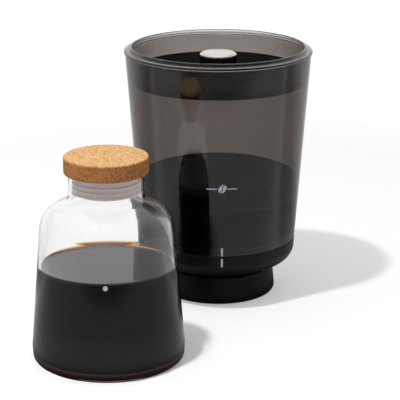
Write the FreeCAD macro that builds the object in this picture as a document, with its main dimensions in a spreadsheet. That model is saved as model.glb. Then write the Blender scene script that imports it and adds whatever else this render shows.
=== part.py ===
import FreeCAD, Part
import math
import os
import Sketcher

# Compact cold brew coffee maker: a smoky brewing container with its lid, filter and drip valve,
# the stand it rests on, and the glass carafe with a cork stopper that it drains into.
# Lengths in millimetres. The brewing unit's axis is X = Y = 0, the table top is Z = 0,
# and the carafe stands in front of it and to its left.

doc = FreeCAD.newDocument("ColdBrewMaker")
sheet = doc.addObject("Spreadsheet::Sheet", "Spreadsheet")

SIZES = {
    # stand and its rubber foot
    "stand_height": 25.0,
    "stand_bore": 45.4,
    "stand_wall": 2.4,
    "stand_flare": 2.2,
    "stand_ledge_height": 9.0,
    "stand_ledge_width": 4.0,
    "stand_floor": 2.6,
    "stand_round": 4.5,
    "foot_inset": 8.0,
    "foot_width": 5.0,
    "foot_depth": 1.2,
    "foot_proud": 0.8,
    # container base with its skirt and valve port
    "skirt_gap": 0.4,
    "skirt_wall": 2.3,
    "base_gap": 4.3,
    "base_depth": 20.7,
    "base_draft": 1.1,
    "base_round": 14.0,
    "base_floor": 3.4,
    "floor_slope": 1.6,
    "floor_round": 3.5,
    "collar_gap": 2.8,
    "collar_wall": 2.2,
    "collar_rise": 7.4,
    "gasket_inset": 1.3,
    "gasket_width": 1.8,
    "gasket_depth": 1.4,
    "port_bore": 11.0,
    "port_wall": 2.4,
    "port_depth": 7.0,
    "port_lip": 1.4,
    "seat_gap": 0.1,
    # brewing container
    "vessel_foot_radius": 66.7,
    "vessel_flare": 12.2,
    "vessel_height": 160.5,
    "vessel_wall": 2.3,
    "vessel_gap": 0.3,
    "lug_width": 12.0,
    "lug_height": 2.2,
    "lug_gap": 0.3,
    "lug_count": 3,
    # lid: clear wall ring, perforated disc and knob
    "lid_gap": 1.9,
    "lid_taper": 1.4,
    "lid_wall": 1.8,
    "lid_drop": 19.0,
    "lid_rise": 2.9,
    "flange_overhang": 1.0,
    "flange_thickness": 2.4,
    "flange_round": 0.9,
    "shoulder_height": 3.4,
    "disc_rise": 3.5,
    "disc_thickness": 1.8,
    "disc_skirt_depth": 5.9,
    "disc_skirt_wall": 2.0,
    "fit_gap": 0.15,
    "hole_radius": 0.9,
    "inner_hole_circle": 26.0,
    "middle_hole_circle": 42.0,
    "outer_hole_circle": 58.0,
    "inner_hole_count": 6,
    "middle_hole_count": 9,
    "outer_hole_count": 12,
    "knob_radius": 15.3,
    "knob_seat_height": 1.0,
    "knob_height": 11.8,
    "cap_overhang": 0.3,
    "cap_height": 3.8,
    "cap_bevel": 1.1,
    "cap_spigot_radius": 9.0,
    "cap_spigot_depth": 1.5,
    "screw_radius": 2.2,
    "screw_head_radius": 4.4,
    "screw_head_height": 1.9,
    "screw_bite": 6.0,
    # coffee filter
    "filter_gap": 1.1,
    "filter_ring_width": 3.4,
    "filter_ring_height": 9.6,
    "filter_bar_height": 6.4,
    "filter_bar_width": 3.0,
    "filter_bar_thickness": 1.6,
    "filter_hub_radius": 7.0,
    "filter_hub_height": 9.0,
    "filter_seal_depth": 1.3,
    "filter_seal_height": 2.4,
    "filter_seal_proud": 0.9,
    "mesh_thickness": 0.3,
    "mesh_pitch": 12.0,
    "mesh_hole": 9.4,
    # drip valve
    "stem_radius": 2.4,
    "stem_tip": 0.4,
    "plug_overlap": 2.4,
    "plug_thickness": 1.4,
    "seal_width": 4.6,
    "seal_thickness": 1.3,
    "guide_height": 3.6,
    "guide_hub_radius": 5.0,
    "guide_ring_width": 1.7,
    "guide_arm_width": 2.0,
    "guide_arm_count": 3,
    "running_gap": 0.06,
    "actuator_thickness": 3.2,
    "actuator_hub_radius": 6.4,
    "actuator_overhang": 4.1,
    "actuator_ring_width": 4.5,
    "actuator_arm_width": 5.0,
    "actuator_arm_count": 3,
    "spring_room": 9.5,
    "spring_radius": 4.1,
    "spring_wire": 0.7,
    "spring_sides": 6,
    "spring_turns": 4,
    # carafe
    "carafe_x": -87.2,
    "carafe_y": -162.6,
    "glass_wall": 2.4,
    "glass_bottom": 7.5,
    "glass_push_up": 1.5,
    "glass_foot_ring": 48.0,
    "body_foot_inset": 0.8,
    "body_radius": 60.0,
    "body_wide_height": 12.0,
    "shoulder_radius": 51.3,
    "carafe_shoulder_height": 118.5,
    "neck_radius": 29.4,
    "shoulder_rise": 12.0,
    "neck_length": 19.8,
    "foot_round": 6.0,
    "wide_round": 12.0,
    "shoulder_round": 20.0,
    "neck_round": 5.0,
    "lip_round": 1.1,
    # stopper
    "cork_overhang": 3.4,
    "cork_gap": 0.3,
    "cork_height": 13.8,
    "cork_round": 1.7,
    "flange_recess": 0.9,
    "plug_flange_inset": 0.4,
    "plug_gap": 0.3,
    "rib_depth": 2.5,
    "sleeve_wall": 1.8,
    "plug_length": 16.0,
    "rib_count": 4,
    "rib_height": 1.5,
    "core_wall": 2.0,
}
for row, (name, size) in enumerate(SIZES.items(), start=1):
    sheet.set(f"A{row}", name)
    sheet.set(f"B{row}", str(size))
    sheet.setAlias(f"B{row}", name)
doc.recompute()


def cell(name):
    """The value of one named size, for the few shapes that are set in code."""
    return float(sheet.get(name))


def bound(text):
    """An expression in size names, written for setExpression."""
    words = []
    for word in text.split():
        words.append(f"Spreadsheet.{word}" if word in SIZES else word)
    return " ".join(words)


def plane(body, role):
    for feature in body.Origin.OriginFeatures:
        if feature.Role == role:
            return feature
    raise ValueError(role)


def new_body(label):
    body = doc.addObject("PartDesign::Body", label)
    body.Label = label
    return body


def pin(sketch, line, across, up):
    """Holds the start point of a sketch line at named distances from the sketch origin."""
    for kind, axis, text in (("DistanceX", -2, across), ("DistanceY", -1, up)):
        if text == "0":
            sketch.addConstraint(Sketcher.Constraint("PointOnObject", line, 1, axis))
            continue
        index = sketch.addConstraint(Sketcher.Constraint(kind, -1, 1, line, 1, 10.0))
        sketch.setExpression(f"Constraints[{index}]", bound(text))


def outline(body, name, role, points, height=None):
    """A closed sketch of straight lines through points given as expressions."""
    sketch = body.newObject("Sketcher::SketchObject", name)
    sketch.AttachmentSupport = [(plane(body, role), "")]
    sketch.MapMode = "FlatFace"
    if height:
        sketch.setExpression("AttachmentOffset.Base.z", bound(height))
    count = len(points)
    for index in range(count):
        start = FreeCAD.Vector(10 + index, index * index, 0)
        end = FreeCAD.Vector(11 + index, (index + 1) * (index + 1), 0)
        sketch.addGeometry(Part.LineSegment(start, end), False)
    for index in range(count):
        follower = (index + 1) % count
        sketch.addConstraint(Sketcher.Constraint("Coincident", index, 2, follower, 1))
    for index, point in enumerate(points):
        pin(sketch, index, point[0], point[1])
    doc.recompute()
    return sketch


def rim_edges(shape, radius, height):
    """Names of the circular edges about the Z axis at one radius and height."""
    names = []
    for index, edge in enumerate(shape.Edges, start=1):
        curve = edge.Curve
        if not isinstance(curve, Part.Circle):
            continue
        near_radius = abs(curve.Radius - radius) < 0.001
        near_height = abs(curve.Center.z - height) < 0.001
        on_axis = abs(curve.Center.x) + abs(curve.Center.y) < 0.001
        if near_radius and near_height and on_axis:
            names.append(f"Edge{index}")
    return names


def turned(label, corners):
    """A body revolved about Z. Each corner is (radius, height) or (radius, height, round)."""
    body = new_body(label)
    sketch = outline(body, f"{label}_profile", "XZ_Plane", corners)
    turn = body.newObject("PartDesign::Revolution", f"{label}_turn")
    turn.Profile = sketch
    turn.ReferenceAxis = (sketch, ["V_Axis"])
    turn.Angle = 360
    sketch.Visibility = False
    doc.recompute()
    rounds = {}
    for index, corner in enumerate(corners):
        if len(corner) > 2:
            place = sketch.Geometry[index].StartPoint
            rounds.setdefault(corner[2], []).append((place.x, place.y))
    base = turn
    for number, (size, places) in enumerate(rounds.items()):
        names = []
        for radius, height in places:
            names += rim_edges(base.Shape, radius, height)
        fillet = body.newObject("PartDesign::Fillet", f"{label}_round{number}")
        fillet.Base = (base, names)
        fillet.setExpression("Radius", bound(size))
        doc.recompute()
        base = fillet
    return body


def rectangle(x_low, x_high, half_width):
    return [
        (x_low, f"-1 * ( {half_width} )"),
        (x_high, f"-1 * ( {half_width} )"),
        (x_high, half_width),
        (x_low, half_width),
    ]


def repeat(body, feature, name, count):
    """Repeats a feature evenly about Z."""
    pattern = body.newObject("PartDesign::PolarPattern", name)
    pattern.Originals = [feature]
    pattern.Axis = (plane(body, "Z_Axis"), [""])
    pattern.Angle = 360
    pattern.setExpression("Occurrences", bound(count))
    body.Tip = pattern
    doc.recompute()
    return pattern


def pad(body, name, points, height, thickness, count=None):
    """Adds a flat plate of the given outline, repeated about Z when count is given."""
    sketch = outline(body, f"{name}_outline", "XY_Plane", points, height)
    feature = body.newObject("PartDesign::Pad", name)
    feature.Profile = sketch
    feature.setExpression("Length", bound(thickness))
    doc.recompute()
    if count:
        repeat(body, feature, f"{name}_row", count)


def ring_sketch(body, name, height, radii, centre=None):
    """A sketch of circles about the origin, or of one circle set out along X."""
    sketch = body.newObject("Sketcher::SketchObject", name)
    sketch.AttachmentSupport = [(plane(body, "XY_Plane"), "")]
    sketch.MapMode = "FlatFace"
    sketch.setExpression("AttachmentOffset.Base.z", bound(height))
    for index, radius in enumerate(radii):
        middle = FreeCAD.Vector(20 if centre else 0, 0, 0)
        circle = Part.Circle(middle, FreeCAD.Vector(0, 0, 1), 5 + index)
        sketch.addGeometry(circle, False)
        if centre:
            sketch.addConstraint(Sketcher.Constraint("PointOnObject", index, 3, -1))
            place = sketch.addConstraint(Sketcher.Constraint("DistanceX", -1, 1, index, 3, 20))
            sketch.setExpression(f"Constraints[{place}]", bound(centre))
        else:
            sketch.addConstraint(Sketcher.Constraint("Coincident", index, 3, -1, 1))
        size = sketch.addConstraint(Sketcher.Constraint("Radius", index, 5 + index))
        sketch.setExpression(f"Constraints[{size}]", bound(radius))
    doc.recompute()
    return sketch


def ring_pad(body, name, height, radii, thickness):
    feature = body.newObject("PartDesign::Pad", name)
    feature.Profile = ring_sketch(body, f"{name}_circles", height, radii)
    feature.setExpression("Length", bound(thickness))
    doc.recompute()


def drill(body, name, circle, count):
    """A ring of small holes down through the disc."""
    before = body.Shape.Volume
    sketch = ring_sketch(body, f"{name}_circle", DISC_TOP, ["hole_radius"], circle)
    hole = body.newObject("PartDesign::Pocket", name)
    hole.Profile = sketch
    hole.setExpression("Length", bound("disc_thickness * 1.5"))
    doc.recompute()
    repeat(body, hole, f"{name}_ring", count)
    if body.Shape.Volume >= before:
        raise ValueError(f"{name} cut nothing")


def on_carafe(body):
    """Stands a body on the carafe's axis."""
    body.setExpression("Placement.Base.x", bound("carafe_x"))
    body.setExpression("Placement.Base.y", bound("carafe_y"))


# Places and radii that several pieces share, worked out from the named sizes.
STAND_TOP_RADIUS = "( stand_bore + stand_wall )"
STAND_RADIUS = "( stand_bore + stand_wall + stand_flare )"
FOOT_RADIUS = f"( {STAND_RADIUS} - foot_inset )"
SKIRT_RADIUS = "( stand_bore - skirt_gap )"
SEAT = "( stand_ledge_height + seat_gap )"
BASE_UNDER = "( stand_height + base_gap )"
BASE_TOP = f"( {BASE_UNDER} + base_depth )"
FLOOR = f"( {BASE_UNDER} + base_floor )"
PORT_TOP = f"( {FLOOR} - floor_slope )"
PORT_LOW = f"( {BASE_UNDER} - port_depth )"
GUIDE_LOW = f"( {PORT_LOW} + port_lip )"
PLUG_LOW = f"( {PORT_TOP} + seat_gap + seal_thickness )"
PLUG_RADIUS = "( port_bore + plug_overlap )"
ACTUATOR_LOW = f"( {GUIDE_LOW} - spring_room - actuator_thickness )"
ACTUATOR_RADIUS = "( neck_radius + actuator_overhang )"
VESSEL_LOW = f"( {BASE_TOP} + vessel_gap )"
VESSEL_TOP = f"( {VESSEL_LOW} + vessel_height )"
VESSEL_BORE = "( vessel_foot_radius - vessel_wall )"
RIM_RADIUS = "( vessel_foot_radius + vessel_flare )"
BASE_RADIUS = "( vessel_foot_radius - base_draft )"
GASKET_RADIUS = "( vessel_foot_radius - gasket_inset )"
COLLAR_RADIUS = f"( {VESSEL_BORE} - collar_gap )"
LUG_LOW = f"( {VESSEL_LOW} + lug_gap )"
FILTER_RADIUS = f"( {COLLAR_RADIUS} - collar_wall - filter_gap )"
FILTER_LOW = f"( {FLOOR} + seat_gap )"
FLANGE_LOW = f"( {VESSEL_TOP} + seat_gap )"
FLANGE_TOP = f"( {FLANGE_LOW} + flange_thickness )"
FLANGE_RADIUS = f"( {RIM_RADIUS} + flange_overhang )"
LID_TOP = f"( {FLANGE_TOP} + lid_rise )"
LID_LOW = f"( {FLANGE_LOW} - lid_drop )"
LID_RADIUS = f"( {RIM_RADIUS} - vessel_wall - lid_gap )"
LID_LOW_RADIUS = f"( {LID_RADIUS} - lid_taper )"
DISC_TOP = f"( {LID_LOW} + disc_rise )"
DISC_LOW = f"( {DISC_TOP} - disc_thickness )"
DISC_SKIRT_LOW = f"( {LID_LOW} - disc_skirt_depth )"
KNOB_LOW = f"( {DISC_TOP} + knob_seat_height )"
CAP_LOW = f"( {KNOB_LOW} + knob_height )"
CAP_RADIUS = "( knob_radius + cap_overhang )"
BODY_FOOT_RADIUS = "( body_radius - body_foot_inset )"
NECK_FOOT = "( carafe_shoulder_height + shoulder_rise )"
CARAFE_TOP = f"( {NECK_FOOT} + neck_length )"
CORK_RADIUS = "( neck_radius + cork_overhang )"
CORK_LOW = f"( {CARAFE_TOP} + cork_gap )"
CORK_TOP = f"( {CORK_LOW} + cork_height )"
PLUG_FLANGE_RADIUS = "( neck_radius - plug_flange_inset )"
RIB_RADIUS = "( neck_radius - glass_wall - plug_gap )"
SLEEVE_RADIUS = f"( {RIB_RADIUS} - rib_depth )"
SLEEVE_LOW = f"( {CORK_LOW} - plug_length )"


def make_stand():
    foot_top = "foot_proud + foot_depth"
    turned("stand", [
        ("0", "foot_proud"),
        (f"{FOOT_RADIUS} - foot_width", "foot_proud"),
        (f"{FOOT_RADIUS} - foot_width", foot_top),
        (FOOT_RADIUS, foot_top),
        (FOOT_RADIUS, "foot_proud"),
        (STAND_RADIUS, "foot_proud", "stand_round"),
        (STAND_TOP_RADIUS, "stand_height", "flange_round"),
        ("stand_bore", "stand_height"),
        ("stand_bore", "stand_ledge_height"),
        ("stand_bore - stand_ledge_width", "stand_ledge_height"),
        ("stand_bore - stand_ledge_width", "foot_proud + foot_depth + stand_floor"),
        ("0", "foot_proud + foot_depth + stand_floor"),
    ])
    turned("stand_foot_ring", [
        (f"{FOOT_RADIUS} - foot_width + running_gap", "0"),
        (f"{FOOT_RADIUS} - running_gap", "0"),
        (f"{FOOT_RADIUS} - running_gap", foot_top),
        (f"{FOOT_RADIUS} - foot_width + running_gap", foot_top),
    ])


def make_base():
    ledge = f"{BASE_TOP} - gasket_depth"
    body = turned("container_base", [
        (f"{SKIRT_RADIUS} - skirt_wall", SEAT),
        (SKIRT_RADIUS, SEAT),
        (SKIRT_RADIUS, BASE_UNDER),
        (BASE_RADIUS, BASE_UNDER, "base_round"),
        ("vessel_foot_radius + seat_gap", BASE_TOP),
        (GASKET_RADIUS, BASE_TOP),
        (GASKET_RADIUS, ledge),
        (f"{GASKET_RADIUS} - gasket_width", ledge),
        (f"{GASKET_RADIUS} - gasket_width", BASE_TOP),
        (COLLAR_RADIUS, BASE_TOP),
        (COLLAR_RADIUS, f"{BASE_TOP} + collar_rise"),
        (f"{COLLAR_RADIUS} - collar_wall", f"{BASE_TOP} + collar_rise"),
        (f"{COLLAR_RADIUS} - collar_wall", FLOOR, "floor_round"),
        ("port_bore + port_wall", PORT_TOP),
        ("port_bore", PORT_TOP),
        ("port_bore", f"{PORT_LOW} + port_lip"),
        ("port_bore - port_lip", f"{PORT_LOW} + port_lip"),
        ("port_bore - port_lip", PORT_LOW),
        ("port_bore + port_wall", PORT_LOW),
        ("port_bore + port_wall", f"{BASE_UNDER} - floor_slope"),
        (f"{SKIRT_RADIUS} - skirt_wall", BASE_UNDER),
    ])
    lugs = rectangle(
        f"{COLLAR_RADIUS} - collar_wall * 0.5",
        "vessel_foot_radius - vessel_wall - lug_gap * 2",
        "lug_width / 2",
    )
    pad(body, "base_lug", lugs, f"{LUG_LOW} + lug_height + lug_gap", "lug_height", "lug_count")
    turned("base_gasket", [
        (f"{GASKET_RADIUS} - gasket_width + running_gap", ledge),
        (f"{GASKET_RADIUS} - running_gap", ledge),
        (f"{GASKET_RADIUS} - running_gap", f"{BASE_TOP} + vessel_gap - seat_gap"),
        (f"{GASKET_RADIUS} - gasket_width + running_gap", f"{BASE_TOP} + vessel_gap - seat_gap"),
    ])


def make_valve():
    guide = turned("valve_guide", [
        ("port_bore - guide_ring_width", GUIDE_LOW),
        ("port_bore - running_gap", GUIDE_LOW),
        ("port_bore - running_gap", f"{GUIDE_LOW} + guide_height"),
        ("port_bore - guide_ring_width", f"{GUIDE_LOW} + guide_height"),
    ])
    arm = rectangle(
        "( guide_hub_radius + stem_radius ) / 2",
        "port_bore - guide_ring_width / 2",
        "guide_arm_width / 2",
    )
    pad(guide, "guide_arm", arm, GUIDE_LOW, "guide_height", "guide_arm_count")
    ring_pad(guide, "guide_hub", GUIDE_LOW, ["guide_hub_radius", "stem_radius + running_gap"],
             "guide_height")
    turned("valve_stem", [
        ("0", f"{ACTUATOR_LOW} - stem_tip"),
        ("stem_radius", f"{ACTUATOR_LOW} - stem_tip"),
        ("stem_radius", PLUG_LOW),
        (PLUG_RADIUS, PLUG_LOW),
        (PLUG_RADIUS, f"{PLUG_LOW} + plug_thickness / 2"),
        ("stem_radius", f"{PLUG_LOW} + plug_thickness"),
        ("0", f"{PLUG_LOW} + plug_thickness"),
    ])
    turned("valve_seal", [
        (f"{PLUG_RADIUS} - seal_width", f"{PORT_TOP} + seat_gap"),
        (PLUG_RADIUS, f"{PORT_TOP} + seat_gap"),
        (PLUG_RADIUS, PLUG_LOW),
        (f"{PLUG_RADIUS} - seal_width", PLUG_LOW),
    ])
    actuator = turned("valve_actuator", [
        (f"{ACTUATOR_RADIUS} - actuator_ring_width", ACTUATOR_LOW),
        (ACTUATOR_RADIUS, ACTUATOR_LOW),
        (ACTUATOR_RADIUS, f"{ACTUATOR_LOW} + actuator_thickness"),
        (f"{ACTUATOR_RADIUS} - actuator_ring_width", f"{ACTUATOR_LOW} + actuator_thickness"),
    ])
    blade = rectangle(
        "( actuator_hub_radius + stem_radius ) / 2",
        f"{ACTUATOR_RADIUS} - actuator_ring_width / 2",
        "actuator_arm_width / 2",
    )
    pad(actuator, "actuator_arm", blade, ACTUATOR_LOW, "actuator_thickness",
        "actuator_arm_count")
    ring_pad(actuator, "actuator_hub", ACTUATOR_LOW,
             ["actuator_hub_radius", "stem_radius + running_gap"], "actuator_thickness")


def arc_through(start, tangent, reach, end):
    """The arc that leaves start along tangent and ends at end, reach away from its corner."""
    chord = end - start
    half_angle = tangent.getAngle(chord)
    middle = (start + end) * 0.5
    corner = start + tangent * reach
    share = math.tan(half_angle / 2) / math.tan(half_angle)
    return Part.Arc(start, middle + (corner - middle) * share, end).toShape()


def biarc(start, leaving, end, arriving):
    """Two tangent arcs from one point and direction to another."""
    span = end - start
    turn = 2 * (1 - leaving.dot(arriving))
    along = span.dot(leaving + arriving)
    reach = (math.sqrt(along * along + turn * span.dot(span)) - along) / turn
    middle = (start + end + (leaving - arriving) * reach) * 0.5
    first = arc_through(start, leaving, reach, middle)
    second = arc_through(end, arriving * -1, reach, middle)
    return [first, second]


def make_spring():
    """The valve spring: one wire coiled round the stem, in half turns of constant climb."""
    radius = cell("spring_radius")
    wire = cell("spring_wire")
    turns = int(cell("spring_turns"))
    sides = int(cell("spring_sides"))
    actuator = doc.getObject("valve_actuator").Shape.BoundBox
    guide = doc.getObject("valve_guide").Shape.BoundBox
    low = actuator.ZMax + wire / 2 + cell("seat_gap")
    high = guide.ZMin - wire / 2 - cell("seat_gap")
    climb = (high - low) / turns
    print("spring: least gap between turns", round(climb - wire, 3))
    stations = []
    for half in range(2 * turns + 1):
        angle = math.pi * half
        place = FreeCAD.Vector(radius * math.cos(angle), 0, climb * half / 2)
        heading = FreeCAD.Vector(0, 2 * math.pi * radius * math.cos(angle), climb)
        stations.append((place, heading.normalize()))
    arcs = []
    for (start, leaving), (end, arriving) in zip(stations[:-1], stations[1:]):
        arcs += biarc(start, leaving, end, arriving)
    place, heading = stations[0]
    outward = FreeCAD.Vector(1, 0, 0)
    sideways = heading.cross(outward)
    corners = []
    for side in range(sides + 1):
        angle = 2 * math.pi * side / sides
        offset = outward * math.cos(angle) + sideways * math.sin(angle)
        corners.append(place + offset * (wire / 2))
    section = Part.makePolygon(corners)
    spring = doc.addObject("Part::Feature", "valve_spring")
    spring.Label = "valve_spring"
    spring.Shape = Part.Wire(arcs).makePipeShell([section], True, False)
    spring.Placement = FreeCAD.Placement(FreeCAD.Vector(0, 0, low), FreeCAD.Rotation())


def make_container():
    body = turned("brewing_container", [
        (VESSEL_BORE, VESSEL_LOW),
        ("vessel_foot_radius", VESSEL_LOW),
        (RIM_RADIUS, VESSEL_TOP, "fit_gap * 4"),
        (f"{RIM_RADIUS} - vessel_wall", VESSEL_TOP, "fit_gap * 4"),
    ])
    ribs = rectangle(
        f"{COLLAR_RADIUS} + lug_gap",
        "vessel_foot_radius - vessel_wall / 2",
        "lug_width / 2",
    )
    pad(body, "container_lug", ribs, LUG_LOW, "lug_height", "lug_count")


def make_filter():
    low = FILTER_LOW
    top = f"{low} + filter_ring_height"
    seal_low = f"{low} + filter_ring_height / 2"
    bars = f"{low} + filter_bar_height"
    body = turned("filter_frame", [
        (f"{FILTER_RADIUS} - filter_ring_width", low),
        (f"{FILTER_RADIUS} - filter_seal_depth * 2", low),
        (FILTER_RADIUS, seal_low),
        (f"{FILTER_RADIUS} - filter_seal_depth", seal_low),
        (f"{FILTER_RADIUS} - filter_seal_depth", f"{seal_low} + filter_seal_height"),
        (FILTER_RADIUS, f"{seal_low} + filter_seal_height"),
        (FILTER_RADIUS, top),
        (f"{FILTER_RADIUS} - filter_ring_width", top),
    ])
    reach = f"{FILTER_RADIUS} - filter_ring_width / 2"
    bar = rectangle(f"-1 * ( {reach} )", reach, "filter_bar_width / 2")
    pad(body, "filter_bar", bar, bars, "filter_bar_thickness")
    cross = [(up, across) for across, up in bar]
    pad(body, "filter_cross_bar", cross, bars, "filter_bar_thickness")
    ring_pad(body, "filter_hub", bars, ["filter_hub_radius"], "filter_hub_height")
    turned("filter_seal", [
        (f"{FILTER_RADIUS} - filter_seal_depth + running_gap", f"{seal_low} + running_gap"),
        (f"{FILTER_RADIUS} + filter_seal_proud / 2", f"{seal_low} + running_gap"),
        (f"{FILTER_RADIUS} + filter_seal_proud", f"{seal_low} + filter_seal_height - running_gap"),
        (f"{FILTER_RADIUS} - filter_seal_depth + running_gap",
         f"{seal_low} + filter_seal_height - running_gap"),
    ])


def make_mesh():
    """The filter screen: one thin holed sheet on the frame's bars, inside its ring."""
    bars = doc.getObject("filter_bar_outline").AttachmentOffset.Base.z
    height = bars + cell("filter_bar_thickness")
    ring = doc.getObject("filter_frame_profile").Geometry[0].StartPoint
    radius = ring.x - cell("fit_gap")
    middle = cell("filter_hub_radius") + cell("fit_gap")
    pitch = cell("mesh_pitch")
    side = cell("mesh_hole")
    axis = FreeCAD.Vector(0, 0, 1)
    centre = FreeCAD.Vector(0, 0, height)
    wires = [Part.Wire(Part.makeCircle(radius, centre, axis))]
    wires.append(Part.Wire(Part.makeCircle(middle, centre, axis)))
    steps = int(radius / pitch) + 1
    for across in range(-steps, steps + 1):
        for up in range(-steps, steps + 1):
            reach = ((abs(across) * pitch + side / 2) ** 2 + (abs(up) * pitch + side / 2) ** 2) ** 0.5
            inner = max(abs(across), abs(up)) * pitch - side / 2
            if reach > radius - pitch / 8 or inner < middle:
                continue
            corner = FreeCAD.Vector(across * pitch - side / 2, up * pitch - side / 2, height)
            wires.append(Part.makePlane(side, side, corner).OuterWire)
    face = Part.Face(wires[0])
    face = face.cut([Part.Face(wire) for wire in wires[1:]])
    mesh = doc.addObject("Part::Feature", "filter_mesh")
    mesh.Label = "filter_mesh"
    mesh.Shape = face.Faces[0].extrude(FreeCAD.Vector(0, 0, cell("mesh_thickness")))


def make_lid():
    shoulder_low = f"{FLANGE_LOW} - shoulder_height"
    shoulder = (
        "vessel_foot_radius + vessel_flare * ( 1 - shoulder_height / vessel_height )"
        " - vessel_wall - fit_gap"
    )
    turned("lid_wall", [
        (f"{LID_LOW_RADIUS} - lid_wall", LID_LOW),
        (LID_LOW_RADIUS, LID_LOW),
        (LID_RADIUS, f"{shoulder_low} - lid_wall"),
        (shoulder, shoulder_low),
        (shoulder, FLANGE_LOW),
        (FLANGE_RADIUS, FLANGE_LOW, "flange_round"),
        (FLANGE_RADIUS, FLANGE_TOP, "flange_round"),
        (LID_RADIUS, FLANGE_TOP),
        (LID_RADIUS, LID_TOP),
        (f"{LID_RADIUS} - lid_wall", LID_TOP),
    ])
    rim = f"{LID_LOW_RADIUS} - lid_wall - fit_gap"
    boss_low = f"{DISC_LOW} - disc_thickness * 1.5"
    disc = turned("lid_disc", [
        ("screw_radius + running_gap", boss_low),
        ("screw_head_radius * 2", boss_low),
        ("screw_head_radius * 2", DISC_LOW),
        (f"{rim} - disc_skirt_wall", DISC_LOW),
        (f"{LID_LOW_RADIUS} - disc_skirt_wall", f"{DISC_LOW} - disc_skirt_wall * 1.5"),
        (f"{LID_LOW_RADIUS} - disc_skirt_wall", DISC_SKIRT_LOW),
        (LID_LOW_RADIUS, DISC_SKIRT_LOW),
        (LID_LOW_RADIUS, f"{LID_LOW} - running_gap"),
        (rim, f"{LID_LOW} - running_gap"),
        (rim, DISC_TOP),
        ("knob_radius - fit_gap * 4", DISC_TOP),
        ("knob_radius - fit_gap * 4", f"{DISC_TOP} + knob_seat_height"),
        ("screw_radius + running_gap", f"{DISC_TOP} + knob_seat_height"),
    ])
    drill(disc, "inner_holes", "inner_hole_circle", "inner_hole_count")
    drill(disc, "middle_holes", "middle_hole_circle", "middle_hole_count")
    drill(disc, "outer_holes", "outer_hole_circle", "outer_hole_count")
    turned("knob_body", [
        ("screw_radius + running_gap", KNOB_LOW),
        ("knob_radius", KNOB_LOW),
        ("knob_radius", CAP_LOW),
        ("cap_spigot_radius + running_gap", CAP_LOW),
        ("cap_spigot_radius + running_gap", f"{CAP_LOW} - cap_spigot_depth"),
        ("0", f"{CAP_LOW} - cap_spigot_depth"),
        ("0", f"{KNOB_LOW} + screw_bite + running_gap"),
        ("screw_radius + running_gap", f"{KNOB_LOW} + screw_bite + running_gap"),
    ])
    turned("knob_cap", [
        ("0", f"{CAP_LOW} - cap_spigot_depth"),
        ("cap_spigot_radius", f"{CAP_LOW} - cap_spigot_depth"),
        ("cap_spigot_radius", CAP_LOW),
        (CAP_RADIUS, CAP_LOW),
        (CAP_RADIUS, f"{CAP_LOW} + cap_bevel"),
        (f"{CAP_RADIUS} - cap_bevel * 2", f"{CAP_LOW} + cap_bevel * 2.3", "cap_bevel"),
        ("0", f"{CAP_LOW} + cap_height"),
    ])
    turned("knob_screw", [
        ("0", f"{boss_low} - screw_head_height"),
        ("screw_head_radius * 0.6", f"{boss_low} - screw_head_height"),
        ("screw_head_radius", f"{boss_low} - screw_head_height / 2"),
        ("screw_head_radius", boss_low),
        ("screw_radius", boss_low),
        ("screw_radius", f"{KNOB_LOW} + screw_bite"),
        ("0", f"{KNOB_LOW} + screw_bite"),
    ])


def make_carafe():
    inner_shoulder = "carafe_shoulder_height - glass_wall * 0.4"
    glass = turned("carafe_glass", [
        ("0", "glass_push_up"),
        ("glass_foot_ring - glass_push_up * 2", "glass_push_up"),
        ("glass_foot_ring", "0"),
        (BODY_FOOT_RADIUS, "0", "foot_round"),
        ("body_radius", "body_wide_height", "wide_round"),
        ("shoulder_radius", "carafe_shoulder_height", "shoulder_round"),
        ("neck_radius", NECK_FOOT, "neck_round"),
        ("neck_radius", CARAFE_TOP, "lip_round"),
        ("neck_radius - glass_wall", CARAFE_TOP, "lip_round"),
        ("neck_radius - glass_wall", f"{NECK_FOOT} + glass_wall * 0.3", "neck_round + glass_wall"),
        ("shoulder_radius - glass_wall * 1.1", inner_shoulder, "shoulder_round - glass_wall"),
        ("body_radius - glass_wall", "body_wide_height", "wide_round"),
        (f"{BODY_FOOT_RADIUS} - glass_wall", "glass_bottom", "neck_round"),
        ("0", "glass_bottom"),
    ])
    on_carafe(glass)


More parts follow.
